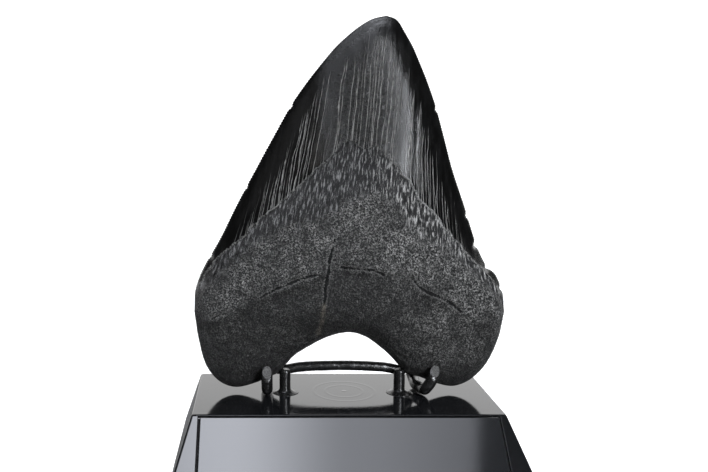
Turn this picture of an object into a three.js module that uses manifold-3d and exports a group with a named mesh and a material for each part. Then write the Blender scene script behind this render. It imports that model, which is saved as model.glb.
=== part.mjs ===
// Megalodon tooth on its display stand.
// Millimetres, +Z up, +X to the right of someone facing the name plate, -Y towards them.
// The fossil is one natural solid. The stand is a moulded base, a name plate and bent wire.
import * as THREE from 'three';
import { mergeVertices } from 'three/addons/utils/BufferGeometryUtils.js';
import Module from 'manifold-3d';

const wasm = await Module();
wasm.setup();

// ---------------------------------------------------------------- driving dimensions
const GAP = 0.3;                  // clearance left between pieces that touch

const TOP_WIDTH = 105;            // flat top of the base, along X
const TOP_DEPTH = 46;             // flat top of the base, along Y
const BASE_HEIGHT = 26;           // table to flat top
const SKIRT_HEIGHT = 5;           // upright foot below the sloping faces
const SIDE_SLOPE = 0.33;          // outward run of the side faces per mm of drop
const FRONT_SLOPE = 1.05;         // outward run of the front face per mm of drop
const BACK_SLOPE = 0.4;           // outward run of the back face per mm of drop
const EDGE_ROUND = 0.8;           // rounding of the base's plan corners
const RIM_ROUND = 0.5;            // rounding of the top rim

const PLATE_WIDTH = 99.4;
const PLATE_LENGTH = 22;          // down the slope
const PLATE_THICK = 1.2;
const PLATE_RECESS = 0.9;         // depth of the pocket that the plate sits in
const PLATE_MARGIN = 1.1;         // slope left above the plate
const PLATE_GROOVE = 0.7;         // gap round the plate

const WIRE_RADIUS = 2;            // coated wire of the hooks and posts
const BAR_RADIUS = 1.8;           // cross bar, slightly thinner
const PRONG_Y = -6.1;             // the front prongs stand here, in front of the lobes
const HOOK_REAR_X = 27.1;         // where both hooks pass back under the lobes
const POST_X = 20.6;              // posts stand this far either side of the middle
const POST_TOP = 7;               // post height above the flat top
const SOCKET_DEPTH = 6;           // hole in the base that each post is glued into
const GLUE_RADIUS = 4.6;          // flared bead of glue at a post's foot
const GLUE_HEIGHT = 2.1;
const GLUE_LIP = 0.3;             // thickness of the bead where it thins out up the post

const TOOTH_PLANE = 2;            // Y of the plane that the cutting edges lie in
const TIP_HEIGHT = 133.6;         // where the crown's swelling runs out, above the flat top
const CROWN_HEIGHT = 95;          // height over which the crown thins towards the tip
const CROWN_TAPER = 0.7;          // under 1 keeps the crown full until close to the tip
const BULGE_PLACE = { x: 3, z: 44, spread: 30 };
const LOBE_THIN = 0.7;            // thickness of the lobes' ends as a share of the root's
const LOBE_HEIGHTS = [4, 32];     // the root reaches its full thickness between these
const ENAMEL_BLEND = 7;           // half height of the change from root to crown
const BOW = { start: 45, height: 88, depth: 2.4 };
const TOOTH_ROWS = 40;
const TOOTH_COLUMNS = 36;
const RIM_STEPS = 160;            // samples along each rim curve for measuring distances

const WIRE_SIDES = 20;
const FLARE_STEPS = 6;
const FLARE_SIDES = 24;
const CUT_CLEAR = 10;             // how far a cutting body stands clear of the face it cuts
const SLOPED_DROP = BASE_HEIGHT - SKIRT_HEIGHT;
const FOOT_FRONT = -TOP_DEPTH / 2 - FRONT_SLOPE * SLOPED_DROP;
const FOOT_BACK = TOP_DEPTH / 2 + BACK_SLOPE * SLOPED_DROP;
const FOOT_MIDDLE = (FOOT_FRONT + FOOT_BACK) / 2;

// ---------------------------------------------------------------- materials
const finish = (color, roughness, metalness = 0) =>
  new THREE.MeshStandardMaterial({ color, roughness, metalness });

const fossil = finish(0x2a2a2c, 0.5);
const mouldedBlack = finish(0x141518, 0.12);
const plateBlack = finish(0x2c2e33, 0.2);
const coatedWire = finish(0x0c0c0d, 0.25);
const driedGlue = finish(0x1a1a1c, 0.3);

// ---------------------------------------------------------------- small tools
const clamp = (value, low, high) => Math.min(high, Math.max(low, value));

const smoothstep = (low, high, value) => {
  const t = clamp((value - low) / (high - low), 0, 1);
  return t * t * (3 - 2 * t);
};

const bell = (x, width) => Math.exp(-((x / width) ** 2));

// Closed body from a stack of rings with equal point counts, listed from the bottom up and
// running anticlockwise seen from above.
function loft(rings) {
  const count = rings[0].length;
  const points = rings.flat();
  const index = [];
  for (let ring = 0; ring < rings.length - 1; ring += 1) {
    for (let i = 0; i < count; i += 1) {
      const a = ring * count + i;
      const b = ring * count + ((i + 1) % count);
      index.push(a, b, b + count, a, b + count, a + count);
    }
  }
  const last = (rings.length - 1) * count;
  for (let i = 1; i < count - 1; i += 1) {
    index.push(0, i + 1, i);
    index.push(last, last + i, last + i + 1);
  }
  const geometry = new THREE.BufferGeometry().setFromPoints(points);
  geometry.setIndex(index);
  return geometry;
}

function toSolid(geometry) {
  const bare = geometry.clone();
  bare.deleteAttribute('normal');
  bare.deleteAttribute('uv');
  const merged = mergeVertices(bare, 1e-4);
  return new wasm.Manifold(new wasm.Mesh({
    numProp: 3,
    vertProperties: new Float32Array(merged.attributes.position.array),
    triVerts: new Uint32Array(merged.index.array),
  }));
}

function fromSolid(solid) {
  const mesh = solid.getMesh();
  const geometry = new THREE.BufferGeometry();
  geometry.setAttribute('position', new THREE.BufferAttribute(mesh.vertProperties, 3));
  geometry.setIndex(new THREE.BufferAttribute(mesh.triVerts, 1));
  return geometry;
}

// Smooth curve through hand-picked points, as a function of the share 0..1 of its length.
function smoothCurve(points) {
  const reach = [0];
  for (let i = 1; i < points.length; i += 1) {
    const [x, z] = points[i];
    const [lastX, lastZ] = points[i - 1];
    reach.push(reach[i - 1] + Math.hypot(x - lastX, z - lastZ));
  }
  const slope = points.map((point, i) => {
    const before = Math.max(i - 1, 0);
    const after = Math.min(i + 1, points.length - 1);
    return [0, 1].map((k) => (points[after][k] - points[before][k]) / (reach[after] - reach[before]));
  });
  return (share) => {
    const s = clamp(share, 0, 1) * reach[reach.length - 1];
    let i = 0;
    while (i < points.length - 2 && reach[i + 1] < s) i += 1;
    const span = reach[i + 1] - reach[i];
    const t = (s - reach[i]) / span;
    return [0, 1].map((k) => (2 * t ** 3 - 3 * t ** 2 + 1) * points[i][k]
      + (t ** 3 - 2 * t ** 2 + t) * span * slope[i][k]
      + (3 * t ** 2 - 2 * t ** 3) * points[i + 1][k]
      + (t ** 3 - t ** 2) * span * slope[i + 1][k]);
  };
}

// ---------------------------------------------------------------- the tooth
// The outline, as (x, height above the base's flat top): two cutting edges that run from the
// widest part of the root up to the tip, and the two-lobed underside between them.
const leftEdge = smoothCurve([
  [-53.2, 30], [-52.6, 38], [-49.2, 46.4], [-44, 55.4], [-37.6, 68.3], [-30.8, 81],
  [-24, 93.4], [-16.9, 105.6], [-4.6, 121.3], [2.6, 128], [8.8, 132], [14, 133.3],
]);
const rightEdge = smoothCurve([
  [57.8, 30], [57, 36.5], [54.6, 42.6], [50.4, 47.2], [46.8, 55], [42.3, 68.3], [37.8, 81],
  [34.3, 93.4], [30.5, 105.8], [24, 121.4], [20.3, 128], [17.6, 131.9], [14, 133.3],
]);
const underside = smoothCurve([
  [-53.2, 30], [-51.9, 20.5], [-49.9, 11.6], [-47.3, 6.6], [-43.2, 2.9], [-38, 1.5],
  [-31.4, 3.1], [-27.2, 5], [-23.2, 6.9], [-20.2, 10.2], [-17.5, 13.3], [-13.1, 16.4],
  [-5.3, 20.7], [2, 22.4], [8, 20.7], [13.5, 16.7], [17.4, 13.2], [20.4, 9.9],
  [23.8, 6.9], [28.5, 5.2], [34.4, 2.9], [40.2, 1.9],
  [45.6, 3.8], [50.2, 7.8], [53.4, 12.8], [56.2, 20.5], [57.8, 30],
]);
const LEFT_CORNER = leftEdge(0);
const RIGHT_CORNER = rightEdge(0);
const LOBE_FADE = 0.55;           // share of the height over which the underside's shape fades

// Where the crown's enamel starts, as height for each x: a tall chevron on the swollen front
// and a low arch on the flatter back.
const FRONT_CHEVRON = [
  [-60, 30], [-52, 39], [-35, 57.5], [-22.8, 68.8], [-5, 85.7], [1, 90.5], [9, 88],
  [19.9, 77.3], [33.6, 60.5], [52, 40], [60, 30],
];

function heightAlong(line, x) {
  let i = 0;
  while (i < line.length - 2 && line[i + 1][0] < x) i += 1;
  const t = (x - line[i][0]) / (line[i + 1][0] - line[i][0]);
  return line[i][1] + (line[i + 1][1] - line[i][1]) * t;
}

const backEnamel = (x) => 38 + 13 * bell(x - 2, 34);

// Place in the plane of the outline for a column share u (left to right) and a row share v
// (underside to tip).
function outlinePlace(u, v) {
  const left = leftEdge(v);
  const right = rightEdge(v);
  const low = underside(u);
  const pull = v < LOBE_FADE ? (1 - v / LOBE_FADE) ** 2 : 0;
  return [0, 1].map((k) => {
    const straight = left[k] + (right[k] - left[k]) * u;
    const corner = LEFT_CORNER[k] + (RIGHT_CORNER[k] - LEFT_CORNER[k]) * u;
    return straight + (low[k] - corner) * pull;
  });
}

const RIM_POINTS = [];
for (let i = 0; i <= RIM_STEPS; i += 1) {
  const share = i / RIM_STEPS;
  RIM_POINTS.push(underside(share), leftEdge(share), rightEdge(share));
}

const rimDistance = (x, z) =>
  Math.min(...RIM_POINTS.map((point) => Math.hypot(point[0] - x, point[1] - z)));

// How far the surface stands off the plane of the cutting edges. The crown is a lens in
// section with sharp edges; the root is a thick pad with a rounded rim.
function swelling(x, z, u, side) {
  const taper = Math.max(0, (TIP_HEIGHT - z) / CROWN_HEIGHT) ** CROWN_TAPER;
  const lens = Math.max(0, 1 - (2 * u - 1) ** 2);
  const rim = Math.min(1, rimDistance(x, z) / side.rimWidth);
  const crown = side.crown * taper * lens ** side.lensPower;
  const { x: bulgeX, z: bulgeZ, spread } = BULGE_PLACE;
  const bulge = side.bulge * bell(x - bulgeX, spread) * bell(z - bulgeZ, spread);
  const pad = side.pad * THREE.MathUtils.lerp(LOBE_THIN, 1, smoothstep(...LOBE_HEIGHTS, z));
  const root = (pad + bulge) * Math.sqrt(1 - (1 - rim) ** 2);
  const enamel = side.enamel(x);
  const share = smoothstep(enamel - ENAMEL_BLEND, enamel + ENAMEL_BLEND, z);
  return THREE.MathUtils.lerp(root, crown, share);
}

const FRONT = {
  crown: 16,
  lensPower: 0.72,
  pad: 7.2,
  bulge: 11,
  rimWidth: 10,
  enamel: (x) => heightAlong(FRONT_CHEVRON, x),
};
const BACK = {
  crown: 7,
  lensPower: 0.85,
  pad: 6,
  bulge: 2.2,
  rimWidth: 8,
  enamel: backEnamel,
};

// The blade bends gently backwards above the root.
const planeBow = (z) => BOW.depth * Math.max(0, (z - BOW.start) / BOW.height) ** 2;

// Columns and rows crowd together where the surface turns fastest.
const crowded = (t, evenness) => {
  const eased = 0.5 - 0.5 * Math.cos(Math.PI * t);
  return THREE.MathUtils.lerp(eased, t, evenness);
};
const spreadColumn = (i) => crowded(i / TOOTH_COLUMNS, 0.4);
const spreadRow = (j) => crowded(j / TOOTH_ROWS, 0.35);

function toothGeometry() {
  const points = [];
  const index = [];
  const seen = new Map();
  const vertex = (i, j, side) => {
    const rimmed = i === 0 || i === TOOTH_COLUMNS || j === 0 || j === TOOTH_ROWS;
    const column = j === TOOTH_ROWS ? 0 : i;
    const name = `${column},${j},${rimmed ? 'rim' : side}`;
    if (!seen.has(name)) {
      const u = spreadColumn(column);
      const [x, z] = outlinePlace(u, spreadRow(j));
      const middle = TOOTH_PLANE + planeBow(z);
      const away = rimmed ? 0 : swelling(x, z, u, side === 'front' ? FRONT : BACK);
      const y = side === 'front' ? middle - away : middle + away;
      seen.set(name, points.length);
      points.push(new THREE.Vector3(x, y, z));
    }
    return seen.get(name);
  };
  const add = (a, b, c) => {
    if (a !== b && b !== c && c !== a) index.push(a, b, c);
  };
  for (const side of ['front', 'back']) {
    for (let j = 0; j < TOOTH_ROWS; j += 1) {
      for (let i = 0; i < TOOTH_COLUMNS; i += 1) {
        const a = vertex(i, j, side);
        const b = vertex(i + 1, j, side);
        const c = vertex(i + 1, j + 1, side);
        const d = vertex(i, j + 1, side);
        const corners = side === 'front' ? [a, b, c, d] : [d, c, b, a];
        add(corners[0], corners[1], corners[2]);
        add(corners[0], corners[2], corners[3]);
      }
    }
  }
  const geometry = new THREE.BufferGeometry().setFromPoints(points);
  geometry.setIndex(index);
  return geometry;
}

// ---------------------------------------------------------------- the base
const CORNER_STEPS = 4;

// Rectangle with rounded corners at one height.
function roundedRing(xHalf, yFront, yBack, z, radius) {
  const corners = [
    [xHalf - radius, yFront + radius, -90], [xHalf - radius, yBack - radius, 0],
    [-xHalf + radius, yBack - radius, 90], [-xHalf + radius, yFront + radius, 180],
  ];
  const ring = [];
  for (const [x, y, start] of corners) {
    for (let step = 0; step <= CORNER_STEPS; step += 1) {
      const angle = THREE.MathUtils.degToRad(start + step * (90 / CORNER_STEPS));
      ring.push(new THREE.Vector3(x + radius * Math.cos(angle), y + radius * Math.sin(angle), z));
    }
  }
  return ring;
}

// Section of the sloping body at one drop below the flat top.
const sectionAt = (drop, inset = 0) => roundedRing(
  TOP_WIDTH / 2 + SIDE_SLOPE * drop - inset,
  -TOP_DEPTH / 2 - FRONT_SLOPE * drop + inset,
  TOP_DEPTH / 2 + BACK_SLOPE * drop - inset,
  -drop,
  EDGE_ROUND,
);

// Frame of the sloping front face: origin in the middle of its top edge, Y down the slope.
function onFrontSlope(geometry) {
  const lean = Math.atan2(1, FRONT_SLOPE);
  geometry.rotateX(lean);
  geometry.translate(0, -TOP_DEPTH / 2, 0);
  return geometry;
}

function slopedSlab(width, length, start, low, high) {
  const slab = new THREE.BoxGeometry(width, length, high - low);
  slab.translate(0, -start - length / 2, (low + high) / 2);
  return onFrontSlope(slab);
}

function baseGeometry() {
  const foot = sectionAt(SLOPED_DROP).map((point) => point.clone().setZ(-BASE_HEIGHT));
  const body = loft([
    foot,
    sectionAt(SLOPED_DROP),
    sectionAt(RIM_ROUND),
    sectionAt(RIM_ROUND * 0.3, RIM_ROUND * 0.2),
    sectionAt(0, RIM_ROUND * 0.8),
  ]);
  const pocket = slopedSlab(
    PLATE_WIDTH + 2 * PLATE_GROOVE,
    PLATE_LENGTH + 2 * PLATE_GROOVE,
    PLATE_MARGIN - PLATE_GROOVE,
    -PLATE_RECESS,
    CUT_CLEAR,
  );
  let solid = toSolid(body).subtract(toSolid(pocket));
  for (const x of [-POST_X, POST_X]) {
    const radius = WIRE_RADIUS + GAP;
    const socket = new THREE.CylinderGeometry(radius, radius, SOCKET_DEPTH + 1, WIRE_SIDES);
    socket.rotateX(Math.PI / 2);
    socket.translate(x, 0, (1 - SOCKET_DEPTH) / 2);
    solid = solid.subtract(toSolid(socket));
  }
  return fromSolid(solid);
}

const platePiece = () => slopedSlab(
  PLATE_WIDTH,
  PLATE_LENGTH,
  PLATE_MARGIN,
  GAP - PLATE_RECESS,
  GAP - PLATE_RECESS + PLATE_THICK,
);

// ---------------------------------------------------------------- the wire cradle
function rod(route, radius, steps) {
  const outline = new THREE.Shape();
  outline.absarc(0, 0, radius, 0, 2 * Math.PI, false);
  const extrudePath = new THREE.CatmullRomCurve3(route.map((point) => new THREE.Vector3(...point)));
  const settings = { extrudePath, steps, curveSegments: 7, bevelEnabled: false };
  return new THREE.ExtrudeGeometry(outline, settings);
}

// A hook starts at its cut tip in front of the lobe, turns under it and stands up again behind
// the root. outward is -1 on the left and 1 on the right; lean is how far the front prong
// splays out between its foot and its tip.
function hook(outward, tip) {
  const foot = tip.x - tip.lean;
  const route = [
    [tip.x, PRONG_Y, tip.z],
    [tip.x - tip.lean * 0.5, PRONG_Y, 5.8],
    [foot, -5.3, 3.2],
    [foot - 0.1 * tip.lean, -3, 2.4],
    [HOOK_REAR_X, 1.5, 2.4],
    [HOOK_REAR_X, 6, 2.7],
    [HOOK_REAR_X - 0.4, 9.2, 4.6],
    [HOOK_REAR_X - 1.6, 10.8, 8],
    [HOOK_REAR_X - 3, 11.2, 12],
    [HOOK_REAR_X - 4, 11.1, 16],
    [HOOK_REAR_X - 4.4, 11, 21],
  ];
  return rod(route.map(([x, y, z]) => [outward * x, y, z]), WIRE_RADIUS, 36);
}

// The cross bar bows over behind both posts and its ends reach back to the hooks.
const crossBar = () => {
  const half = [
    [24.5, 8.1, 6.8], [22.8, 6, 6.9], [20.6, 4.4, 7.3], [16, 4.1, 8.2], [9, 4.1, 8.7], [0, 4.1, 8.9],
  ];
  const mirrored = half.slice(0, -1).map(([x, y, z]) => [-x, y, z]);
  return rod([...mirrored, ...half.reverse()], BAR_RADIUS, 24);
};

function postGeometry(x) {
  const length = POST_TOP + SOCKET_DEPTH - GAP;
  const post = new THREE.CylinderGeometry(WIRE_RADIUS, WIRE_RADIUS, length, WIRE_SIDES);
  post.rotateX(Math.PI / 2);
  post.translate(x, 0, POST_TOP - length / 2);
  return post;
}

// Ring of glue with a concave flare that runs out thin on the flat top.
function glueGeometry(x) {
  const inner = WIRE_RADIUS + GAP;
  const neck = inner + GLUE_LIP;
  const skin = GAP + 0.25;
  const profile = [new THREE.Vector2(inner, GAP), new THREE.Vector2(GLUE_RADIUS, GAP)];
  for (let step = 0; step <= FLARE_STEPS; step += 1) {
    const t = step / FLARE_STEPS;
    const out = neck + (GLUE_RADIUS - neck) * (1 - t) ** 2;
    profile.push(new THREE.Vector2(out, skin + (GLUE_HEIGHT - skin) * t ** 1.4));
  }
  profile.push(new THREE.Vector2(inner, GLUE_HEIGHT), new THREE.Vector2(inner, GAP));
  const bead = new THREE.LatheGeometry(profile, FLARE_SIDES);
  bead.rotateX(Math.PI / 2);
  bead.translate(x, 0, 0);
  return bead;
}

// ---------------------------------------------------------------- assembly
const model = new THREE.Group();
model.position.set(0, -FOOT_MIDDLE, BASE_HEIGHT);

function addPiece(name, geometry, material) {
  const piece = new THREE.Mesh(geometry, material);
  piece.name = name;
  model.add(piece);
}

addPiece('tooth', toothGeometry(), fossil);
addPiece('base', baseGeometry(), mouldedBlack);
addPiece('name_plate', platePiece(), plateBlack);
addPiece('crossbar', crossBar(), coatedWire);
addPiece('hook_left', hook(-1, { x: 27.2, z: 9.4, lean: 0.1 }), coatedWire);
addPiece('hook_right', hook(1, { x: 32.2, z: 9.8, lean: 3.2 }), coatedWire);
for (const [name, x] of [['left', -POST_X], ['right', POST_X]]) {
  addPiece(`post_${name}`, postGeometry(x), coatedWire);
  addPiece(`glue_${name}`, glueGeometry(x), driedGlue);
}

export default model;
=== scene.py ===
# %% [markdown]
# # A fossil shark tooth on its wire stand
# The object is one very large black fossil tooth, point up, held by bent coated wire on a
# small moulded stand. The sizes were settled beforehand in a CAD model. This lesson loads
# that model as a fixed frame and builds the finished surfaces around it, piece by piece.

# %% Load the frame
import functools
import math

import bpy
import numpy as np
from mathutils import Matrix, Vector


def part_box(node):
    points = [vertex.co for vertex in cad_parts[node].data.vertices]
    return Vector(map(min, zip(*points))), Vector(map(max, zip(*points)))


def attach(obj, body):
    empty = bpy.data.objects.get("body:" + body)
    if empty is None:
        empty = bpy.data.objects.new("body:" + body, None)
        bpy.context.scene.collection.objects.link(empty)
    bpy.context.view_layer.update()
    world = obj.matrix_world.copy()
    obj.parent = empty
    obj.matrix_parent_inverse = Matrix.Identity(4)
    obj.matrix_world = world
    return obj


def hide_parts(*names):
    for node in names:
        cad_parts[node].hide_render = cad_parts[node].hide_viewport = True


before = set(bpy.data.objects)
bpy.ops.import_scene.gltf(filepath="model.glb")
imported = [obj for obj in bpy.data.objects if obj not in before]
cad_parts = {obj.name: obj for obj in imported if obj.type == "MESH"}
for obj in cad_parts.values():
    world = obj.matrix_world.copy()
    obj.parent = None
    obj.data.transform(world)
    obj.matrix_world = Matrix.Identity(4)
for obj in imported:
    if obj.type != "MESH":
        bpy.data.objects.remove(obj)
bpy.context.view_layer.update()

MM = 0.001

# %% [markdown]
# Everything is placed from a few facts of the frame. The flat top of the stand is the level
# that heights are measured from, and the two posts stand on the top's middle line, so their
# boxes give the line that the tooth stands over.

# %% Places taken from the frame
base_low, base_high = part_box("base")
post_low, post_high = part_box("post_left")
DECK = base_high.z / MM
MIDLINE = (post_low.y + post_high.y) / 2 / MM
POST_X = -(post_low.x + post_high.x) / 2 / MM
WIRE_RADIUS = (post_high.x - post_low.x) / 2 / MM
TOOTH_PLANE = MIDLINE + 2.0
print(f"deck at {DECK:.1f} mm, posts at {POST_X:.1f} mm, midline at {MIDLINE:.2f} mm")

# %% [markdown]
# ## Camera and light
# How a black object looks is mostly a matter of what it reflects. The viewer stands a little
# left of the middle and looks slightly down, with a normal lens. The object then sits to one
# side, and a lens shift brings it back towards the middle without turning the camera.

# %% Camera
SENSOR = 36.0
LENS = 40.68
SIDE_SHIFT = 0.1342
CAMERA_PITCH = 7.4
CAMERA_PLACE = (-30.0, MIDLINE - 279.7, DECK + 93.4)

camera_data = bpy.data.cameras.new("camera")
camera_data.sensor_width = SENSOR
camera_data.lens = LENS
camera_data.shift_x = SIDE_SHIFT
camera = bpy.data.objects.new("camera", camera_data)
bpy.context.scene.collection.objects.link(camera)
camera.location = Vector(CAMERA_PLACE) * MM
camera.rotation_euler = (math.radians(90 - CAMERA_PITCH), 0, 0)
bpy.context.scene.camera = camera
bpy.context.scene.view_settings.view_transform = "Standard"
print("lens", round(camera_data.lens, 1), "mm")

# %% [markdown]
# The room is white where the viewer looks and dim everywhere else, so that the black surfaces
# keep their depth. A white world does that when only direct sight sees it at full strength.

# %% World
WORLD_SEEN = 1.0
WORLD_FILL = 0.06

world = bpy.data.worlds.new("studio")
bpy.context.scene.world = world
world.use_nodes = True
world_tree = world.node_tree
world_light = world_tree.nodes["Background"]
sight = world_tree.nodes.new("ShaderNodeLightPath")
strength = world_tree.nodes.new("ShaderNodeMapRange")
strength.inputs["To Min"].default_value = WORLD_FILL
strength.inputs["To Max"].default_value = WORLD_SEEN
world_tree.links.new(sight.outputs["Is Camera Ray"], strength.inputs["Value"])
world_tree.links.new(strength.outputs["Result"], world_light.inputs["Strength"])
world_light.inputs["Color"].default_value = (1, 1, 1, 1)

# %% [markdown]
# Soft boxes are area lights. A tall narrow one on the right draws the long soft highlight that
# runs down the crown, a weaker one near the middle adds a second, and a faint large one keeps
# the left flank from going fully black.

# %% Soft boxes
def soft_box(name, place, target, size, power, colour=(1, 1, 1)):
    data = bpy.data.lights.new(name, "AREA")
    data.shape = "RECTANGLE"
    data.size, data.size_y = size
    data.energy = power
    data.color = colour
    box = bpy.data.objects.new(name, data)
    bpy.context.scene.collection.objects.link(box)
    box.location = place
    box.rotation_euler = (Vector(target) - Vector(place)).to_track_quat("-Z", "Y").to_euler()
    return box


HEART = (0.0, MIDLINE * MM, (DECK + 60) * MM)


def around(azimuth, distance, height):
    """A place seen from the tooth at so many degrees right of the viewer's side."""
    angle = math.radians(azimuth)
    return (distance * math.sin(angle), -distance * math.cos(angle), height)


soft_box("right_strip", around(27, 0.9, 0.36), HEART, (0.12, 0.6), 12.5, (0.92, 0.95, 1.0))
soft_box("left_strip", around(-15, 0.95, 0.38), HEART, (0.1, 0.5), 0.7, (1.0, 0.98, 0.93))
soft_box("left_fill", around(-60, 0.9, 0.55), HEART, (0.3, 0.6), 0.25)

# %% [markdown]
# ## Node and mesh helpers
# A procedural finish is a small graph. These helpers keep each one short: `Graph` adds nodes
# by name, sets their sockets and joins them, so that a material reads like a recipe.

# %% Node graph helper
class Graph:
    def __init__(self, name):
        self.material = bpy.data.materials.new(name)
        self.material.use_nodes = True
        self.tree = self.material.node_tree
        self.shader = self.tree.nodes["Principled BSDF"]

    def put(self, target, socket, value):
        slot = target.inputs[socket]
        if isinstance(value, bpy.types.NodeSocket):
            self.tree.links.new(value, slot)
        else:
            slot.default_value = value

    def add(self, kind, settings=None, output=0, **sockets):
        node = self.tree.nodes.new("ShaderNode" + kind)
        for key, value in (settings or {}).items():
            setattr(node, key, value)
        for socket, value in sockets.items():
            numbered = socket[0] == "i" and socket[1:].isdigit()
            self.put(node, int(socket[1:]) if numbered else socket, value)
        return node.outputs[output]

    def mask(self, name):
        return self.add("Attribute", {"attribute_name": name}, output=2)

    def vector(self, name):
        return self.add("Attribute", {"attribute_name": name}, output=1)

    def math(self, operation, a, b=0.0):
        return self.add("Math", {"operation": operation}, i0=a, i1=b)

    def step(self, value, low, high, start=0.0, end=1.0):
        smooth_kind = {"interpolation_type": "SMOOTHSTEP"}
        return self.add("MapRange", smooth_kind, i0=value, i1=low, i2=high, i3=start, i4=end)

    def fall(self, value, low, high):
        return self.step(value, low, high, 1.0, 0.0)

    def between(self, share, low, high):
        return self.add("MapRange", i0=share, i1=0.0, i2=1.0, i3=low, i4=high)

    def times(self, *values):
        return functools.reduce(lambda a, b: self.math("MULTIPLY", a, b), values)

    def plus(self, *values):
        return functools.reduce(lambda a, b: self.math("ADD", a, b), values)

    def less(self, a, b):
        return self.math("SUBTRACT", a, b)

    def mix(self, share, a, b):
        return self.add("Mix", {"data_type": "RGBA"}, output=2, i0=share, i6=a, i7=b)

    def noise(self, place, scale, detail=3.0, rough=0.55):
        return self.add("TexNoise", i0=place, Scale=scale, Detail=detail, Roughness=rough)

    def split(self, place):
        node = self.tree.nodes.new("ShaderNodeSeparateXYZ")
        self.tree.links.new(place, node.inputs[0])
        return node.outputs

    def scaled(self, place, factors):
        return self.add("VectorMath", {"operation": "MULTIPLY"}, i0=place, i1=factors)

    def place(self):
        return self.add("TexCoord", output=3)

    def place_mm(self):
        return self.scaled(self.place(), (1 / MM, 1 / MM, 1 / MM))

    def bump(self, height, distance, strength=1.0):
        return self.add("Bump", Height=height, Distance=distance, Strength=strength)

    def finish(self, colour, rough, normal=None):
        self.put(self.shader, "Base Color", colour)
        self.put(self.shader, "Roughness", rough)
        if normal is not None:
            self.put(self.shader, "Normal", normal)
        return self.material


def grey(level, tint=(1.0, 1.0, 1.0)):
    return (level * tint[0], level * tint[1], level * tint[2], 1.0)


# %% [markdown]
# Random detail has to come out the same on every run, so the noise used for real bumps is a
# small lattice noise of our own: each lattice corner gets a fixed value from its whole-number
# place, and points in between blend their eight corners.

# %% Lattice noise for geometry
def lattice_value(ix, iy, iz, seed):
    mixed = ix * 73856093 ^ iy * 19349663 ^ iz * 83492791 ^ seed * 39916801
    mixed = (mixed ^ (mixed >> 13)) * 1274126177 & 0xFFFFFFFF
    return ((mixed ^ (mixed >> 16)) & 0xFFFF) / 32767.5 - 1


def lattice_noise(points, scale, seed):
    spot = np.asarray(points) / scale + 1000.0
    cell = np.floor(spot).astype(np.int64)
    t = spot - cell
    t = t * t * (3 - 2 * t)
    total = np.zeros(len(spot))
    for corner in np.ndindex(2, 2, 2):
        share = np.where(corner, t, 1 - t)
        weight = share[:, 0] * share[:, 1] * share[:, 2]
        total += weight * lattice_value(*(cell + corner).T, seed)
    return total


def smooth(value, low, high):
    t = np.clip((value - low) / (high - low), 0, 1)
    return t * t * (3 - 2 * t)


def bell(x, width):
    return np.exp(-((x / width) ** 2))


def turns(count):
    """So many angles evenly round a full turn."""
    return np.linspace(0, 2 * math.pi, count, endpoint=False)


def add_mesh(name, points_mm, faces, smooth_shaded=True):
    mesh = bpy.data.meshes.new(name)
    mesh.from_pydata((np.asarray(points_mm) * MM).tolist(), [], faces)
    mesh.update()
    if smooth_shaded:
        mesh.shade_smooth()
    piece = bpy.data.objects.new(name, mesh)
    bpy.context.scene.collection.objects.link(piece)
    return piece


def store(piece, name, values):
    values = np.asarray(values, dtype=np.float32)
    kind = "FLOAT_VECTOR" if values.ndim == 2 else "FLOAT"
    layer = piece.data.attributes.new(name, kind, "POINT")
    layer.data.foreach_set("vector" if values.ndim == 2 else "value", values.ravel())


# %% [markdown]
# ## The tooth
# The tooth is the subject. It has a glossy crown with two serrated cutting edges, a grainy
# band under the crown on the swollen front, and a matt root with two lobes. It could be
# sculpted by hand, but a formula keeps it exact and repeatable: an outline in one plane, and
# how far the surface swells out of that plane at each place in it.

# %% Outline curves
def smooth_curve(points):
    knots = np.array(points, float)
    step = np.hypot(*np.diff(knots, axis=0).T)
    reach = np.concatenate([[0], np.cumsum(step)])
    before = np.maximum(np.arange(len(knots)) - 1, 0)
    after = np.minimum(np.arange(len(knots)) + 1, len(knots) - 1)
    slope = (knots[after] - knots[before]) / (reach[after] - reach[before])[:, None]

    def at(share):
        s = np.clip(np.asarray(share, float), 0, 1) * reach[-1]
        i = np.clip(np.searchsorted(reach, s, side="left") - 1, 0, len(knots) - 2)
        span = step[i]
        t = ((s - reach[i]) / span)[..., None]
        span = span[..., None]
        return (
            (2 * t**3 - 3 * t**2 + 1) * knots[i]
            + (t**3 - 2 * t**2 + t) * span * slope[i]
            + (3 * t**2 - 2 * t**3) * knots[i + 1]
            + (t**3 - t**2) * span * slope[i + 1]
        )

    return at


left_edge = smooth_curve([
    (-53.2, 30), (-52.6, 38), (-49.2, 46.4), (-44, 55.4), (-37.6, 68.3), (-30.8, 81),
    (-24, 93.4), (-16.9, 105.6), (-4.6, 121.3), (2.6, 128), (8.8, 132), (14, 133.3),
])
right_edge = smooth_curve([
    (57.8, 30), (57, 36.5), (54.6, 42.6), (50.4, 47.2), (46.8, 55), (42.3, 68.3), (37.8, 81),
    (34.3, 93.4), (30.5, 105.8), (24, 121.4), (20.3, 128), (17.6, 131.9), (14, 133.3),
])
underside = smooth_curve([
    (-53.2, 30), (-51.9, 20.5), (-49.9, 11.6), (-47.3, 6.6), (-43.2, 2.9), (-38, 1.5),
    (-31.4, 3.1), (-27.2, 5), (-23.2, 6.9), (-20.2, 10.2), (-17.5, 13.3), (-13.1, 16.4),
    (-5.3, 20.7), (2, 22.4), (8, 20.7), (13.5, 16.7), (17.4, 13.2), (20.4, 9.9),
    (23.8, 6.9), (28.5, 5.2), (34.4, 2.9), (40.2, 1.9),
    (45.6, 3.8), (50.2, 7.8), (53.4, 12.8), (56.2, 20.5), (57.8, 30),
])
LOBE_FADE = 0.55


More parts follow.
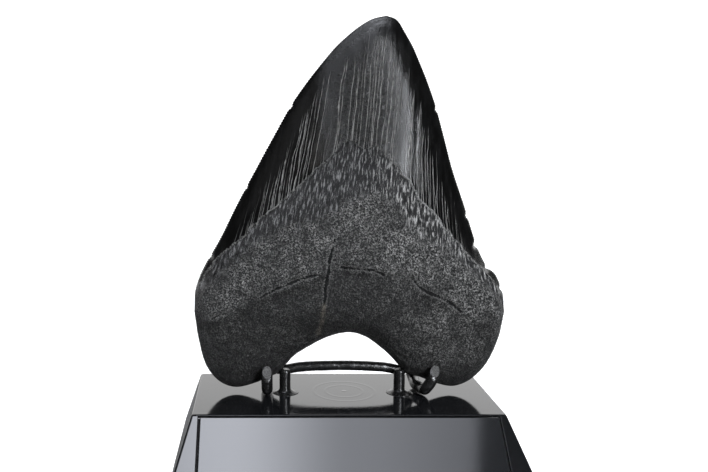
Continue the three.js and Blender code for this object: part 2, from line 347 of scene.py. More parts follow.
def outline_place(u, v):
    left, right, low = left_edge(v), right_edge(v), underside(u)
    pull = (np.clip(1 - v / LOBE_FADE, 0, 1) ** 2)[..., None]
    u = u[..., None]
    straight = left + (right - left) * u
    corner = left_edge(0.0) + (right_edge(0.0) - left_edge(0.0)) * u
    return straight + (low - corner) * pull


# %% [markdown]
# Lines drawn on the tooth are short polylines: where the enamel ends on the
# front, where the grainy band ends below it, and the old cracks in the root. `line_distance`
# gives every vertex its distance to such a line in millimetres, and both the geometry and the
# finish use that number, so a groove and its dark colour always meet.

# %% Lines on the tooth
ENAMEL_LINE = [
    (-62, 26), (-52.5, 38.2), (-45.5, 48), (-35.1, 57.4), (-29.7, 63.6), (-22.8, 68.8),
    (-15.1, 76.2), (-5, 85.2), (-2, 89.4), (1, 90.4), (5.1, 87.9), (9.8, 88.3), (14.5, 84),
    (19.9, 77.3), (25.2, 69.4), (30.3, 65.4), (33.6, 60.5), (36.5, 57.1), (43.2, 50.5),
    (48.2, 45.4), (54.3, 38.5), (62, 28),
]
BAND_LINE = [
    (-62, 22), (-52.5, 36.4), (-44, 45), (-33.4, 54.3), (-29.7, 57.4), (-22.1, 60.5),
    (-18.7, 62.4), (-9.2, 64.5), (0, 70.5), (9.1, 74), (16, 69.8), (21.6, 61.6), (26.8, 58.3),
    (31, 55.1), (39.4, 50.2), (48, 42.2), (54, 37), (62, 24),
]
ROOT_CRACKS = [
    [(-5.3, 54.5), (-6.3, 50.5), (-6.6, 47), (-7.6, 41), (-7.9, 35)],
    [(-2.5, 48.6), (1.2, 48.2), (5.1, 47.9), (8.6, 47.5), (11.9, 46)],
    [(21.5, 44.6), (24.3, 41.2), (27.4, 39.3), (31.5, 37.4), (35.8, 35.1), (38.4, 33.2),
     (40.7, 31.2)],
    [(-46.5, 28.6), (-43.8, 30.2), (-41.5, 30.6)],
    [(-31, 36.2), (-26.5, 38.6), (-21, 41.6), (-15.5, 44.2), (-11, 45.6)],
    [(-4.4, 57.5), (-5.4, 54.5)],
]
CRACK_WIDTHS = [0.3, 0.12, 0.3, 0.16, 0.1, 0.1]
LEDGE_LINE = [
    (-62, 22), (-46.5, 28.6), (-36, 33), (-29.3, 36.8), (-18, 42.4), (-8, 46.3), (-2.5, 48.4),
    (5, 47.7), (11.9, 46), (17, 45.6), (21.5, 44.4), (27.4, 39.4), (35.8, 35), (40.7, 31), (62, 20),
]
ROOT_RIDGES = [
    [(-8, 46.3), (-18, 42.4), (-29.3, 36.8), (-36, 33)],
    [(-37, 40), (-29, 36.4), (-24, 31.5)],
]
PALE_VEIN = [(-7.9, 35), (-8.3, 30), (-9, 26.5), (-9.3, 23.4)]


def segment_distance(points, a, b):
    a, b = np.array(a, float), np.array(b, float)
    along = np.clip(((points - a) @ (b - a)) / ((b - a) @ (b - a)), 0, 1)
    return np.hypot(*(points - a - along[:, None] * (b - a)).T)


def line_distance(points, line):
    return np.min([segment_distance(points, a, b) for a, b in zip(line, line[1:])], axis=0)


def height_over(points, line):
    xs, zs = zip(*line)
    above = np.sign(points[:, 1] - np.interp(points[:, 0], xs, zs))
    return above * line_distance(points, line)


# %% [markdown]
# The swelling formula is a lens on the crown, sharp at the cutting edges, and a thick pad on
# the root with a rounded rim. Each side of the tooth has its own numbers: the front bulges
# strongly over the arch of the root, and the back is almost flat.

# %% Swelling of the two sides
RIM_SHARES = np.linspace(0, 1, 321)
RIM = np.concatenate([underside(RIM_SHARES), left_edge(RIM_SHARES), right_edge(RIM_SHARES)])


def rim_distance(points):
    best = np.full(len(points), 1e9)
    for part in np.array_split(RIM, 12):
        gap = np.hypot(points[:, None, 0] - part[None, :, 0], points[:, None, 1] - part[None, :, 1])
        best = np.minimum(best, gap.min(axis=1))
    return best


def back_enamel(x):
    return 38 + 13 * bell(x - 2, 34)


FRONT = dict(crown=16, lens_power=0.72, pad=7.2, bulge=11, rim_width=10)
BACK = dict(crown=7, lens_power=0.85, pad=6, bulge=2.2, rim_width=8)


def swelling(place, u, rim, above_enamel, side):
    x, z = place.T
    taper = np.clip((133.6 - z) / 95, 0, None) ** 0.7
    lens = np.clip(1 - (2 * u - 1) ** 2, 0, 1)
    edge = np.clip(rim / side["rim_width"], 0, 1)
    crown = side["crown"] * taper * lens ** side["lens_power"]
    bulge = side["bulge"] * bell(x - 3, 30) * bell(z - 44, 30)
    pad = side["pad"] * (0.7 + 0.3 * smooth(z, 4, 32))
    root = (pad + bulge) * np.sqrt(1 - (1 - edge) ** 2)
    share = smooth(above_enamel, -7, 7)
    return root * (1 - share) + crown * share


def plane_bow(z):
    return 2.4 * np.clip((z - 45) / 88, 0, None) ** 2


# %% [markdown]
# The front gets three times as many columns as the back, because that is where the eye goes.
# Both sides share the rows of the cutting edges, so the two skins meet vertex to vertex.

# %% The two skins of the tooth
ROWS = 300
FRONT_COLUMNS = 228
BACK_STEP = 3


def spread(count, even):
    t = np.linspace(0, 1, count + 1)
    return even * t + (1 - even) * (0.5 - 0.5 * np.cos(np.pi * t))


ROW_SHARES = spread(ROWS, 0.55)
COLUMN_SHARES = spread(FRONT_COLUMNS, 0.5)


def build_tooth():
    skins = {}
    sides = (("front", FRONT, COLUMN_SHARES), ("back", BACK, COLUMN_SHARES[::BACK_STEP]))
    for name, side, columns in sides:
        u, v = np.meshgrid(columns, ROW_SHARES)
        place = outline_place(u, v).reshape(-1, 2)
        u = u.ravel()
        rim = rim_distance(place)
        if name == "front":
            above = place[:, 1] - np.interp(place[:, 0], *zip(*ENAMEL_LINE))
        else:
            above = place[:, 1] - back_enamel(place[:, 0])
        away = swelling(place, u, rim, above, side)
        skins[name] = dict(u=u, place=place, rim=rim, away=away, width=len(columns))
    return skins


skins = build_tooth()
print({name: len(skin["u"]) for name, skin in skins.items()}, "grid points")

# %% [markdown]
# Real wear and growth go on top of the formula. The crown carries faint upright flutes, the
# enamel ends in a small raised lip, the band under it is finely wrinkled, and the root is
# leathery with a few open cracks. Each detail is a height in millimetres that is added to the
# swelling, and every one fades out at the rim so that the skins still meet.

# %% Growth direction
FAN_HEIGHT = 285.0
FAN_LEAN = 0.12


def growth_place(place):
    """Sideways place and height, with the fan of the growth lines straightened out."""
    rise = place[:, 1] - 60
    across = (place[:, 0] - FAN_LEAN * rise) / (1 - rise / FAN_HEIGHT)
    return np.column_stack([across, np.zeros(len(place)), place[:, 1]])


def stretched_noise(flow, across, along, seed):
    return lattice_noise(flow / np.array([across, 1.0, along]), 1.0, seed)


def rough_noise(points, scales, seed):
    return sum(size * lattice_noise(points, scale, seed + k)
               for k, (scale, size) in enumerate(scales))


# %% Relief of the crown, the band and the root
TIP_WEAR = [(-6, 119.5), (2, 126.5), (9, 131), (13.5, 133)]
TIP_RIDGE = [(13.3, 133), (11, 128.4), (8.5, 123.1), (5.5, 114)]
ROOT_GRAIN = [(18, 0.9), (8, 0.55), (3.4, 0.3), (1.5, 0.16)]
NO_CRACK, BACK_APART = 9.0, 50.0


def root_lines(place, body, on_root):
    """Distance to the nearest open crack, the pale vein, and the relief of both and the ledge."""
    crack = np.full(len(place), NO_CRACK)
    for k, (line, width) in enumerate(zip(ROOT_CRACKS, CRACK_WIDTHS)):
        gap = line_distance(place, line) + 0.25 * lattice_noise(body, 2.4, 61 + k)
        crack = np.minimum(crack, gap - width)
    height = np.zeros(len(place))
    for k, line in enumerate(ROOT_RIDGES):
        gap = line_distance(place, line) + 1.2 * lattice_noise(body, 5, 71 + k)
        height += 0.5 * bell(gap, 1.3)
    over = height_over(place, LEDGE_LINE) + 0.9 * lattice_noise(body, 4.5, 75)
    over += 0.4 * lattice_noise(body, 1.6, 76)
    ledge = 0.75 + 0.5 * lattice_noise(body, 9, 77)
    height += ledge * smooth(over, -3.2, 0.8) * np.exp(-np.clip(over, 0, None) / 16) * on_root
    vein = bell(line_distance(place, PALE_VEIN) + 0.4 * lattice_noise(body, 1.4, 81), 0.6)
    return crack, vein, height - 0.6 * bell(np.clip(crack, 0, None), 0.45) - 0.2 * vein


def tip_ridge(place, rim):
    ridge = height_over(place[:, ::-1], [(z, x) for x, z in TIP_RIDGE[::-1]])
    along = bell(place[:, 1] - 124, 11)
    return 1.2 * np.exp(-np.abs(ridge) / 2.4) * along * smooth(rim, 0.3, 2.5)


def relief(skin, front):
    """Stores the fields the finish reads and gives the height that goes on the swelling."""
    place, rim = skin["place"], skin["rim"]
    x, z = place.T
    flow = growth_place(place)
    body = np.column_stack([x, np.full(len(place), 0.0 if front else BACK_APART), z])
    wobble = 0.5 * lattice_noise(body, 2.2, 11) + 0.3 * lattice_noise(body, 0.9, 12)
    if front:
        enamel = height_over(place, ENAMEL_LINE) + wobble
        band = height_over(place, BAND_LINE) + wobble
    else:
        enamel = z - back_enamel(x) + wobble
        band = enamel + 2.5
    on_crown = smooth(enamel, -0.35, 0.35)
    on_band = smooth(band, -0.4, 0.4) * (1 - on_crown)
    on_root = (1 - on_crown) * (1 - on_band)

    flutes = 0.10 * stretched_noise(flow, 3.4, 46, 21) + 0.05 * stretched_noise(flow, 1.5, 30, 22)
    field = 0.35 * smooth(rim, 3.5, 8.5)
    lip = 0.34 * np.exp(-np.clip(enamel, 0, None) / 7) + 0.16 * bell(enamel - 0.5, 0.55)
    wrinkles = 0.17 * stretched_noise(flow, 1.15, 5.5, 31)
    wrinkles += 0.1 * stretched_noise(flow, 0.8, 1.6, 32)
    grain = rough_noise(body, ROOT_GRAIN, 41)
    height = on_crown * (flutes + field + lip) + on_band * wrinkles + on_root * grain
    height -= 0.3 * bell(band, 0.45) * (1 - on_crown) * (0.5 + 0.5 * lattice_noise(body, 3, 51))
    crack, vein = np.full(len(place), NO_CRACK), np.zeros(len(place))
    if front:
        crack, vein, lines = root_lines(place, body, on_root)
        height += lines + tip_ridge(place, rim)
    wear = bell(line_distance(place, TIP_WEAR) + 0.6 * lattice_noise(body, 3, 91), 2.9)
    wear *= 1.0 if front else 0.4
    height -= 0.5 * wear

    # Painted light: the next field brightens the root's grains above the ledge and towards the
    # right, where light from the upper right falls.
    over = height_over(place, LEDGE_LINE) + 1.5 * lattice_noise(body, 6, 78)
    pale = np.clip(0.7 * smooth(over, -2.5, 5) + 0.6 * smooth(x, 2, 36) * smooth(z, 0, 20), 0, 1)
    skin.update(
        flow=flow, enamel=enamel, band=band, crack=crack, vein=vein, wear=wear, side=np.abs(x),
        worn=bell(x - 5, 11) * bell(z - 98, 24) * (1.0 if front else 0.0),
        # The right field marks where the band's strands get a painted highlight.
        pale=pale if front else np.full(len(place), 0.5), right=smooth(x, 2, 22),
    )
    return height * smooth(rim, 1.0, 4.0)


# %% [markdown]
# The cutting edges are serrated. Every second row of vertices on the enamel is pushed out a
# quarter of a millimetre, so the teeth of the saw are exactly as fine as the mesh allows,
# and a few larger nicks are bitten out of the rim where the real edge is chipped.

# %% Serrated rim
SERRATION = 0.26
NICKS = [
    (-18.9, 102.2, 0.55, 1.1), (-34.5, 74.0, 0.4, 0.9), (-47.3, 49.6, 0.45, 1.0),
    (32.0, 101.2, 0.45, 0.9), (43.9, 64.2, 0.6, 1.0), (47.2, 53.8, 1.0, 1.2),
    (51.6, 45.6, 1.0, 1.1), (56.5, 38.2, 0.6, 1.0),
]


def rim_push(skin):
    place, rim = skin["place"], skin["rim"]
    row = np.arange(len(place)) // skin["width"]
    to_side = np.where(skin["u"] < 0.5, -1.0, 1.0)
    outward = np.column_stack([to_side * 0.93, np.full(len(place), 0.3)])
    near = np.exp(-rim / 0.7) * smooth(skin["enamel"], -1.5, 1.5)
    size = SERRATION * (0.75 + 0.45 * lattice_noise(np.column_stack([place, to_side]), 4.5, 101))
    push = np.where(row % 2 == 0, 1.0, -0.35) * size * near
    for x, z, depth, width in NICKS:
        push -= depth * bell(np.hypot(place[:, 0] - x, place[:, 1] - z), width)
    return outward * push[:, None]


# %% Put the skins together
FIELDS = "enamel band rim crack vein wear worn side pale right flow".split()


def skin_points(skin, sign):
    place = skin["place"] + rim_push(skin)
    off = skin["away"] + skin["relief"]
    y = TOOTH_PLANE + plane_bow(skin["place"][:, 1]) + sign * off
    return np.column_stack([place[:, 0], y, place[:, 1] + DECK])


def join_skins():
    points, fields, numbers = [], {}, {}
    for name, sign in (("front", -1), ("back", 1)):
        skin = skins[name]
        rows, width = ROWS + 1, skin["width"]
        ids = np.full((rows, width), -1)
        on_rim = np.zeros((rows, width), bool)
        on_rim[[0, -1], :] = True
        on_rim[:, [0, -1]] = True
        if name == "back":
            shared = numbers["front"][:, ::BACK_STEP]
            ids[on_rim] = shared[on_rim]
            keep = ~on_rim
        else:
            keep = np.ones((rows, width), bool)
            keep[-1, 1:] = False
        start = sum(len(p) for p in points)
        ids[keep] = start + np.arange(keep.sum())
        if name == "front":
            ids[-1, :] = ids[-1, 0]
            skin["relief"][on_rim.ravel()] = 0
            skin["away"][on_rim.ravel()] = 0
        numbers[name] = ids
        points.append(skin_points(skin, sign)[keep.ravel()])
        for key in FIELDS:
            fields.setdefault(key, []).append(skin[key][keep.ravel()])
    fields = {key: np.concatenate(parts) for key, parts in fields.items()}
    return np.concatenate(points), fields, numbers


def skin_faces(ids, reverse, under=None):
    faces = []
    for j in range(ROWS):
        for i in range(ids.shape[1] - 1):
            ring = [ids[j, i], ids[j, i + 1], ids[j + 1, i + 1], ids[j + 1, i]]
            if j == 0 and under is not None:
                ring = list(under[0, i * BACK_STEP:(i + 1) * BACK_STEP + 1]) + ring[2:]
            ring = [int(a) for k, a in enumerate(ring) if a != ring[k - 1]]
            faces.append(ring[::-1] if reverse else ring)
    return faces


for name, skin in skins.items():
    skin["relief"] = relief(skin, name == "front")
tooth_points, tooth_fields, numbers = join_skins()
tooth_faces = skin_faces(numbers["front"], False)
tooth_faces += skin_faces(numbers["back"], True, numbers["front"])
tooth = add_mesh("fossil_tooth", tooth_points, tooth_faces)
for key, values in tooth_fields.items():
    store(tooth, key, values)
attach(tooth, "root")
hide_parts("tooth")
print("tooth faces:", len(tooth_faces), "size in mm:", [round(c / MM, 1) for c in tooth.dimensions])

# %% [markdown]
# ### The finish of the tooth
# One material covers the whole tooth and reads the fields stored on its vertices. The crown
# is glossy black enamel crossed by pale growth cracks. Each crack is one line of a straight
# comb laid over the fanned growth direction: the comb's teeth get their own random strength
# and their own random start and end, so they read as single hairlines and not as stripes.

# %% Growth cracks
BEND, SHAKE = 2.6, 0.5
LINE_PLAY = 0.44
SECOND_SEED = 57.3


def crack_comb(g, flow, spacing, width, seed):
    """Lines along the growth direction: the lines, and two random numbers for each of them."""
    bend = g.noise(g.scaled(flow, (0.16 / spacing, 1, 0.03)), 1.0, detail=2)
    shake = g.noise(g.scaled(flow, (0.5, 1, 0.16)), 1.0)
    x = g.split(flow)[0]
    across = g.plus(g.math("DIVIDE", x, spacing), g.times(bend, BEND), g.times(shake, SHAKE))
    number = g.math("FLOOR", across)
    own, second = [
        g.add("TexWhiteNoise", {"noise_dimensions": "1D"}, W=g.plus(number, start))
        for start in (seed, seed + SECOND_SEED)
    ]
    off = g.plus(g.less(g.math("FRACT", across), 0.5), g.times(second, LINE_PLAY))
    gap = g.times(g.math("ABSOLUTE", g.less(off, LINE_PLAY / 2)), spacing)
    return g.fall(gap, width * 0.3, width), own, second


def crown_lines(g, flow):
    """Coarse lines in patches and fine ones near the root, none at the edges or at the tip."""
    coarse, strength, second = crack_comb(g, flow, 2.3, 0.19, 3.0)
    fine, faint, _ = crack_comb(g, flow, 1.15, 0.17, 31.0)
    reach = g.plus(g.split(flow)[2], g.times(second, 18))
    patches = g.noise(g.scaled(flow, (0.22, 1, 0.05)), 1.0, detail=2)
    lower = g.step(reach, 55.0, 110.0, 0.5, 0.0)
    coarse = g.times(coarse, g.step(g.plus(strength, patches), 0.5, 1.2))
    fine = g.times(fine, g.step(g.plus(faint, patches, lower), 0.75, 1.35, 0.0, 0.8))
    inside = g.step(g.less(g.mask("rim"), g.times(strength, 3.5)), 3.0, 5.5)
    below_tip = g.fall(reach, 120.0, 136.0)
    flakes = g.noise(g.scaled(flow, (1.3, 1, 0.4)), 1.0, detail=4)
    broken = g.step(flakes, 0.34, 0.56, 0.25, 1.0)
    central = g.plus(0.32, g.times(g.mask("worn"), 0.6))
    return g.times(g.math("MAXIMUM", coarse, fine), g.times(inside, below_tip), broken, central)


# %% [markdown]
# The enamel between the lines is almost black, with a faint haze that follows the growth
# direction. Where the crown was rubbed it is duller and slightly paler, and the thin lip where
# the enamel ends is chipped white, most of all towards the two corners.

# %% Finish of the crown
ENAMEL_DARK, ENAMEL_HAZE = grey(0.001), grey(0.006, (1, 1.01, 1.03))
CRACK_PALE, LIP_PALE = grey(0.38, (1.02, 1.0, 0.95)), grey(0.2, (1, 0.99, 0.95))
RUBBED, TIP_RUBBED = grey(0.035, (1.0, 1.0, 0.94)), grey(0.012, (0.97, 1.0, 0.98))


def crown_finish(g, spot, flow):
    lines = crown_lines(g, flow)
    haze = g.noise(g.scaled(flow, (0.45, 1, 0.1)), 1.0, detail=6, rough=0.7)
    pits = g.noise(spot, 1.6, detail=5, rough=0.75)
    worn = g.times(g.mask("worn"), g.step(pits, 0.4, 0.62))
    wear = g.times(g.mask("wear"), g.step(pits, 0.3, 0.62, 0.3, 1.0))
    from_lip = g.math("ABSOLUTE", g.less(g.mask("enamel"), 0.3))
    lip = g.times(g.fall(from_lip, 0.0, 0.55), g.step(pits, 0.4, 0.58, 0.0, 0.9))
    lip = g.times(lip, g.step(g.mask("side"), 8.0, 30.0, 0.4, 1.0))

    colour = g.mix(g.step(haze, 0.4, 0.8), ENAMEL_DARK, ENAMEL_HAZE)
    colour = g.mix(g.times(worn, 0.7), colour, RUBBED)
    colour = g.mix(lines, colour, CRACK_PALE)
    colour = g.mix(lip, colour, LIP_PALE)
    colour = g.mix(wear, colour, TIP_RUBBED)

    rough = g.plus(g.step(haze, 0.3, 0.75, 0.13, 0.24), g.times(lines, 0.3))
    rough = g.plus(rough, g.times(g.math("MAXIMUM", wear, worn), 0.22))
    height = g.less(g.less(g.times(haze, 0.32), g.times(lines, 0.6)), g.times(worn, 0.4))
    return colour, rough, g.plus(height, g.times(pits, 0.12))


# %% [markdown]
# The root is leathery and speckled: bright mineral grains in a black ground. The speckle is
# one fine noise, pushed to high contrast, and three slower noises thin it out in patches.
# Painted light makes the grains brightest above the ledge that runs across the root and towards
# the right, and painted shade dims them towards the undersides of the lobes and in the pits of
# the leather. The band under the enamel has the same grain drawn out into upright strands,
# which carry a painted highlight on the right.

# %% Finish of the root
GROUND, PIT_PAINTED_SHADE, PATCH_GROUND = grey(0.002), grey(0.004), grey(0.008, (0.98, 1.0, 0.99))
GRAIN_LOW, GRAIN_HIGH = grey(0.11, (1.03, 1.02, 0.97)), grey(0.4, (1.03, 1.02, 0.98))
SPECK = grey(0.16, (1.0, 0.99, 0.95))
UNDERSIDE_SHADE_LOW, UNDERSIDE_SHADE_HIGH = DECK + 1.0, DECK + 26.0


def speckled_root(g, spot, grain, leather):
    clouds = g.noise(spot, 0.11, detail=4)
    patches = g.step(g.noise(spot, 0.16), 0.34, 0.62, 0.45, 1.15)
    # Painted light: the grains are brighter where the field read here is high.
    bright = g.mix(g.times(g.mask("pale"), patches), GRAIN_LOW, GRAIN_HIGH)
    # Painted shade: the grains dim towards the bottom of the root, on the undersides of the lobes.
    lit = g.step(g.split(spot)[2], UNDERSIDE_SHADE_LOW, UNDERSIDE_SHADE_HIGH, 0.3, 1.0)
    colour = g.mix(g.times(g.step(grain, 0.46, 0.64), lit), GROUND, bright)
    # Painted shade: the pits of the leather relief are darkened and lose their bright grains.
    colour = g.mix(g.step(leather, 0.36, 0.52, 0.7, 0.0), colour, PIT_PAINTED_SHADE)
    colour = g.mix(g.step(clouds, 0.4, 0.65, 0.0, 0.5), colour, PATCH_GROUND)
    specks = g.step(g.noise(spot, 1.5, detail=2), 0.64, 0.72, 0.0, 0.7)
    return g.mix(specks, colour, SPECK)


# %% Cracks of the root
CRACK_PAINTED_SHADE, CRACK_EDGE_HIGHLIGHT = grey(0.0005), grey(0.14, (1.0, 0.99, 0.95))
VEIN_PALE = grey(0.11, (1.1, 0.98, 0.78))


def cracked(g, spot, grain, colour):
    """Torn cracks with painted shade inside and a painted highlight along their edges, and the
    light vein below the long one.
    """
    torn = g.times(g.less(g.noise(spot, 1.4, detail=4), 0.5), 1.6)
    gap = g.plus(g.mask("crack"), torn)
    edge = g.times(g.step(gap, 0.1, 0.35), g.fall(gap, 0.4, 0.9))
    # Painted highlight: a lighter rim along the edges of each crack.
    colour = g.mix(g.times(edge, g.step(grain, 0.44, 0.58, 0.1, 0.8)), colour, CRACK_EDGE_HIGHLIGHT)
    crack = g.fall(gap, 0.0, 0.25)
    # Painted shade: the open cracks are made black.
    colour = g.mix(crack, colour, CRACK_PAINTED_SHADE)
    return g.mix(g.times(g.mask("vein"), g.step(grain, 0.35, 0.6)), colour, VEIN_PALE), crack


# %% Root and band together
STRAND_LEFT, STRAND_PAINTED_HIGHLIGHT = grey(0.15), grey(0.32, (1.02, 1.01, 0.98))
STRAND_GROUND = grey(0.001)


def root_finish(g, spot, flow, band):
    grain = g.noise(spot, 1.75, detail=4, rough=0.8)
    leather = g.noise(spot, 0.4, detail=5, rough=0.7)
    fibres = g.noise(g.scaled(flow, (1.5, 1, 0.26)), 1.0, detail=4, rough=0.75)
    # Painted highlight: the strands are brighter towards the right of the band.
    strands_with_highlight = g.mix(g.mask("right"), STRAND_LEFT, STRAND_PAINTED_HIGHLIGHT)
    fibrous = g.mix(g.step(fibres, 0.5, 0.6), STRAND_GROUND, strands_with_highlight)
    colour = g.mix(band, speckled_root(g, spot, grain, leather), fibrous)
    colour, crack = cracked(g, spot, grain, colour)
    rough = g.between(band, g.step(grain, 0.4, 0.62, 0.5, 0.3), g.step(fibres, 0.4, 0.6, 0.4, 0.22))
    rough = g.plus(rough, g.times(crack, 0.4))
    skin = g.plus(g.times(grain, 1.0), g.times(leather, 2.4))
    streaks = g.plus(g.times(fibres, 1.1), g.times(grain, 0.3))
    return colour, rough, g.between(band, skin, streaks)


# %% The fossil material
ROOT_DEPTH = 1.6
BUMP_DISTANCE = 0.0005


def fossil_material():
    g = Graph("fossil_enamel_and_root")
    spot = g.place_mm()
    flow = g.vector("flow")
    wobble = g.less(g.noise(spot, 1.1, detail=4), 0.5)
    crown = g.step(g.plus(g.mask("enamel"), wobble), -0.15, 0.25)
    patchy = g.less(g.noise(g.scaled(flow, (0.5, 1, 0.14)), 1.0), 0.5)
    ragged = g.plus(g.times(wobble, 2.4), g.times(patchy, 9.0))
    band = g.step(g.plus(g.mask("band"), ragged), -2.6, 1.8)
    crown_colour, crown_rough, crown_height = crown_finish(g, spot, flow)
    root_colour, root_rough, root_height = root_finish(g, spot, flow, band)
    height = g.between(crown, g.times(root_height, ROOT_DEPTH), crown_height)
    g.shader.inputs["IOR"].default_value = 1.5
    g.shader.inputs["Specular IOR Level"].default_value = 0.36
    return g.finish(g.mix(crown, root_colour, crown_colour),
                    g.between(crown, root_rough, crown_rough),
                    g.bump(height, BUMP_DISTANCE))


tooth.data.materials.append(fossil_material())
print("fossil material nodes:", len(tooth.data.materials[0].node_tree.nodes))

# %% [markdown]
# ## The stand
# The moulded base is a plain frustum, but a polished black surface shows every edge as a
# thin bright line, so the edges matter more than the faces. The body is lofted from rounded
# sections, the pocket and the two sockets are cut out of it, and a small bevel goes over
# every edge that is left sharp.

# %% Sizes of the base
SKIRT_HEIGHT = 5.0
SIDE_SLOPE, FRONT_SLOPE, BACK_SLOPE = 0.33, 1.05, 0.4
CORNER_ROUND = 0.8
RIM_ROUND = 0.5
plate_low, plate_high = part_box("name_plate")
PLATE_WIDTH = (plate_high.x - plate_low.x) / MM
DROP = DECK - SKIRT_HEIGHT
TOP_HALF_WIDTH = base_high.x / MM - SIDE_SLOPE * DROP
TOP_FRONT = base_low.y / MM + FRONT_SLOPE * DROP
TOP_BACK = base_high.y / MM - BACK_SLOPE * DROP
print(f"flat top {2 * TOP_HALF_WIDTH:.1f} by {TOP_BACK - TOP_FRONT:.1f} mm")


# %% Base body
CORNER_STEPS = 8


def base_section(drop, inset=0.0, z=None):
    x = TOP_HALF_WIDTH + SIDE_SLOPE * drop - inset - CORNER_ROUND
    front = TOP_FRONT - FRONT_SLOPE * drop + inset + CORNER_ROUND
    back = TOP_BACK + BACK_SLOPE * drop - inset - CORNER_ROUND
    ring = []
    for cx, cy, start in ((x, front, -90), (x, back, 0), (-x, back, 90), (-x, front, 180)):
        for k in range(CORNER_STEPS + 1):
            angle = math.radians(start + 90 * k / CORNER_STEPS)
            ring.append((cx + CORNER_ROUND * math.cos(angle), cy + CORNER_ROUND * math.sin(angle),
                         DECK - drop if z is None else z))
    return ring


def loft(name, rings, smooth_shaded=True):
    count = len(rings[0])
    corners = ((0, 0), (0, 1), (1, 1), (1, 0))
    faces = [
        tuple((r + up) * count + (i + on) % count for up, on in corners)
        for r in range(len(rings) - 1) for i in range(count)
    ]
    last = (len(rings) - 1) * count
    faces += [tuple(reversed(range(count))), tuple(range(last, last + count))]
    return add_mesh(name, [p for ring in rings for p in ring], faces, smooth_shaded)


def rim_ring(turn):
    """One ring of the rounded top rim, turn running from 0 on the slope to 1 on the flat."""
    angle = turn * math.pi / 2
    return base_section(RIM_ROUND * (1 - math.sin(angle)), RIM_ROUND * (1 - math.cos(angle)))


foot_rings = [base_section(DROP, 0.5, 0.0), base_section(DROP, 0.0, 0.5), base_section(DROP)]
base = loft("moulded_base", foot_rings + [rim_ring(k / 5) for k in range(6)])


# %% Cut the pocket and the sockets
def slope_slab(name, width, length, start, low, high):
    """A slab lying on the sloping front: start and length are measured down the slope."""
    lean = math.atan2(1, FRONT_SLOPE)
    down = Vector((0, -math.cos(lean), -math.sin(lean)))
    out = Vector((0, -math.sin(lean), math.cos(lean)))
    top = Vector((0, TOP_FRONT, DECK))
    rings = []
    for height in (low, high):
        rings.append([
            tuple(top + down * d + out * height + Vector((x, 0, 0)))
            for x, d in ((-width / 2, start + length), (width / 2, start + length),
                         (width / 2, start), (-width / 2, start))
        ])
    return loft(name, rings, smooth_shaded=False)


def modified(piece, kind, **settings):
    """Apply one modifier to a piece and keep the result as its mesh."""
    modifier = piece.modifiers.new(kind.lower(), kind)
    for key, value in settings.items():
        setattr(modifier, key, value)
    shown = piece.evaluated_get(bpy.context.evaluated_depsgraph_get())
    done = bpy.data.meshes.new_from_object(shown)
    piece.modifiers.clear()
    piece.data = done
    return piece


def cut(piece, cutter):
    modified(piece, "BOOLEAN", operation="DIFFERENCE", object=cutter, solver="EXACT")
    bpy.data.objects.remove(cutter)


def soften(piece, width, segments=3, angle=30):
    """Bevel the sharp edges, then let the large faces decide the shading so they stay flat."""
    modified(piece, "BEVEL", width=width * MM, segments=segments, limit_method="ANGLE",
             angle_limit=math.radians(angle))
    piece.data.shade_smooth()
    modified(piece, "WEIGHTED_NORMAL", mode="FACE_AREA", weight=100, keep_sharp=True)


PLATE_MARGIN, PLATE_GROOVE = 1.1, 0.7
PLATE_LENGTH, PLATE_SUNK, PLATE_PROUD = 22.0, 0.6, 0.6
POCKET_DEPTH = 0.9
SOCKET_PLAY, SOCKET_DEPTH = 0.15, 6.0
BASE_BEVEL, PLATE_BEVEL = 0.16, 0.45
pocket = slope_slab("pocket_cut", PLATE_WIDTH + 2 * PLATE_GROOVE, PLATE_LENGTH + 2 * PLATE_GROOVE,
                    PLATE_MARGIN - PLATE_GROOVE, -POCKET_DEPTH, 10)
cut(base, pocket)
for side in (-1, 1):
    radius = WIRE_RADIUS + SOCKET_PLAY
    ring = [(math.cos(a) * radius, math.sin(a) * radius)
            for a in turns(24)]
    cut(base, loft("socket_cut", [
        [(side * POST_X + x, MIDLINE + y, DECK + z) for x, y in ring]
        for z in (-SOCKET_DEPTH, 1.0)]))
soften(base, BASE_BEVEL, segments=2)
print("base faces:", len(base.data.polygons))

# %% [markdown]
# The name plate is left blank. It is a separate strip of glossy laminate that lies in the
# pocket, and its cut edge is bevelled, which is what catches the light round it.

# %% Name plate
plate = slope_slab("blank_name_plate", PLATE_WIDTH, PLATE_LENGTH, PLATE_MARGIN,
                   -PLATE_SUNK, PLATE_PROUD)
soften(plate, PLATE_BEVEL, segments=4)

# %% [markdown]
# ## The wire cradle
# The cradle is bent steel wire dipped in black plastic. A wire is a round section carried
# along a route, and the section must not twist on the way, so each step turns the last frame
# only as far as the wire itself bends. The coating is slightly lumpy all along.

# %% Wire along a route
WIRE_SIDES, WIRE_STEP, LEG_POINTS = 24, 0.35, 24
END_ROUND, END_REACH = 0.3, 0.7
CUT_SLOPE, CUT_REACH = 1.15, 5.0
CAP_SHARES = (0.3, 0.6, 0.85)


def blend(t, p, q, start, end):
    return (end - t) / (end - start) * p + (t - start) / (end - start) * q


